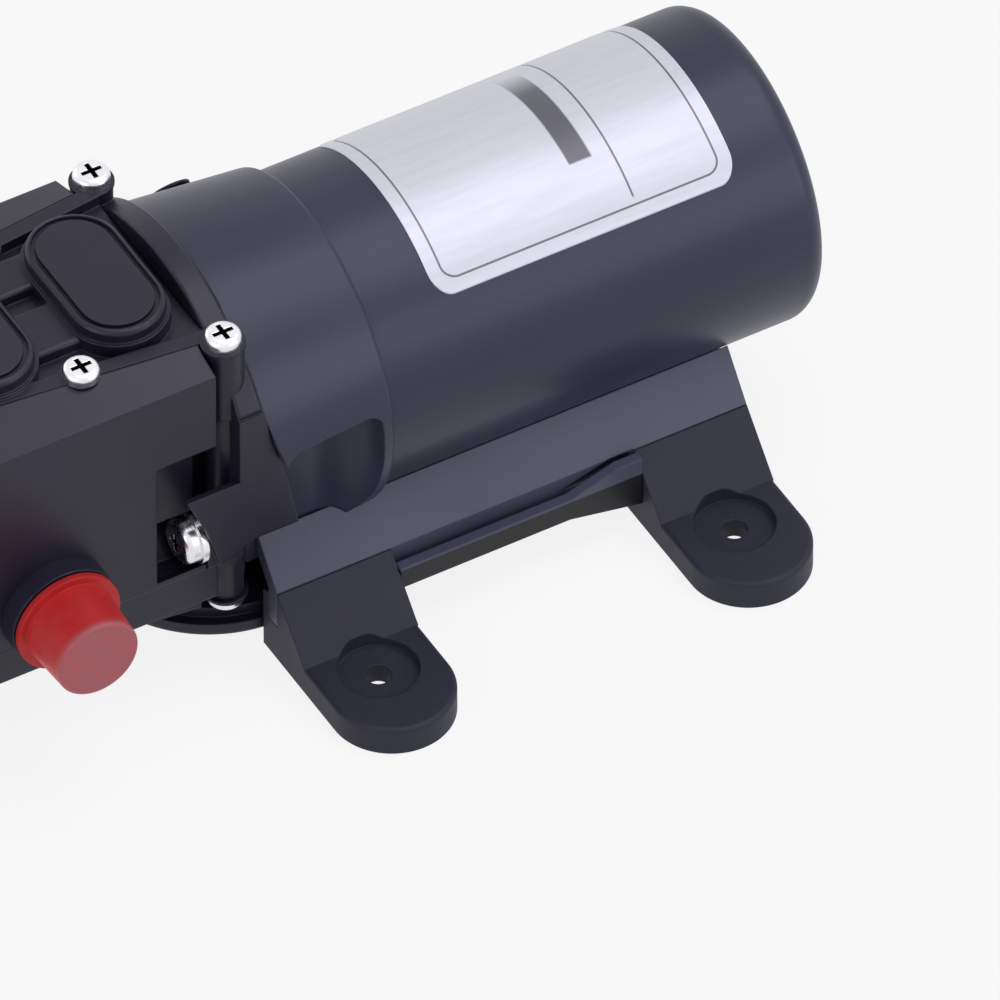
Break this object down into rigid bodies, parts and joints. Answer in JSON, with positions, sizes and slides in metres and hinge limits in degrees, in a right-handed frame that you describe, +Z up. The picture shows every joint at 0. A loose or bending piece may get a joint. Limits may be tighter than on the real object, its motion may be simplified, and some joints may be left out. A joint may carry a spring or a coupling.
{
  "type": "caravan water pump",
  "caption": "Small 12 V diaphragm water pump: motor on a footed bracket, drive flange, twin-chamber head, capped side ports and pressure switch.",
  "frame": {"origin": "on the floor, midway between the four foot holes", "axes": "+X along the motor axis from the pump head towards the motor's closed end, +Z up from the floor, +Y away from the side with the near port"},
  "size_m": [0.1682, 0.1004, 0.0637],
  "materials": {
    "can_paint": "satin blue-grey paint on drawn and cast steel",
    "label_film": "silver-white film, bare",
    "rubber": "matt black rubber",
    "ferrite": "dark ferrite",
    "steel": "machined steel",
    "copper": "copper",
    "bronze": "sintered bronze and brass",
    "black_plastic": "black moulded plastic, slightly glossy",
    "carbon": "carbon",
    "bracket_paint": "blue-grey paint on folded steel",
    "screw_steel": "bright zinc-plated steel",
    "white_plastic": "natural acetal",
    "red_cap": "soft translucent red plastic"
  },
  "bodies": {
    "pump": {"motor_can": "can_paint", "front_bell": "can_paint", "rating_label": "label_film", "wire_grommet": "rubber", "magnets": "ferrite", "rear_bearing": "bronze", "front_bearing": "bronze", "brush_card": "black_plastic", "brushes": "carbon", "brush_boxes": "bronze", "brush_springs": "steel", "base_bracket": "bracket_paint", "bracket_screws": "screw_steel", "foot_near_front": "rubber", "foot_near_rear": "rubber", "foot_far_front": "rubber", "foot_far_rear": "rubber", "under_cap": "black_plastic", "drive_flange": "black_plastic", "housing_screws": "screw_steel", "pump_body": "black_plastic", "valve_plate_top": "black_plastic", "valve_plate_bottom": "black_plastic", "diaphragm_top": "rubber", "diaphragm_bottom": "rubber", "umbrella_valves": "rubber", "top_cover": "black_plastic", "bottom_cover": "black_plastic", "top_cover_seals": "rubber", "bottom_cover_seals": "rubber", "cover_screws_top": "screw_steel", "cover_screws_bottom": "screw_steel", "port_fitting_near": "black_plastic", "port_fitting_far": "black_plastic", "port_seals": "rubber", "switch_base": "black_plastic", "switch_diaphragm": "rubber", "switch_housing": "black_plastic", "switch_terminals": "bronze", "micro_switch": "black_plastic", "switch_spring": "steel", "switch_screws": "screw_steel"},
    "rotor": {"motor_shaft": "steel", "armature_core": "steel", "armature_windings": "copper", "commutator": "copper", "eccentric_cam": "steel", "cam_grub_screw": "steel", "cam_bearing": "steel"},
    "pistons": {"piston_yoke": "white_plastic", "piston_plates": "white_plastic", "piston_screws": "screw_steel"},
    "near_cap": {"port_cap_near": "red_cap"},
    "far_cap": {"port_cap_far": "red_cap"},
    "plunger": {"switch_plunger": "white_plastic"},
    "adjuster": {"adjuster_screw": "bronze"}
  },
  "joints": [
    {"name": "rotor_spin", "type": "hinge", "parent": "pump", "child": "rotor", "pos_m": [0, 0, 0.035], "axis": [1, 0, 0], "continuous": true},
    {"name": "piston_stroke", "type": "slide", "parent": "pump", "child": "pistons", "axis": [0, 0, 1], "range_m": [-0.001, 0.001], "deforming": ["diaphragm_top", "diaphragm_bottom"]},
    {"name": "near_cap_pull", "type": "slide", "parent": "pump", "child": "near_cap", "axis": [0, -1, 0], "range_m": [0, 0.012]},
    {"name": "far_cap_pull", "type": "slide", "parent": "pump", "child": "far_cap", "axis": [0, 1, 0], "range_m": [0, 0.012]},
    {"name": "plunger_press", "type": "slide", "parent": "pump", "child": "plunger", "axis": [-1, 0, 0], "range_m": [0, 0.0008], "stiffness_N_per_m": 2000, "springref_m": -0.0005},
    {"name": "adjuster_turn", "type": "hinge", "parent": "pump", "child": "adjuster", "pos_m": [-0.1056, 0, 0.0382], "axis": [-1, 0, 0], "range_deg": [-180, 180]}
  ]
}
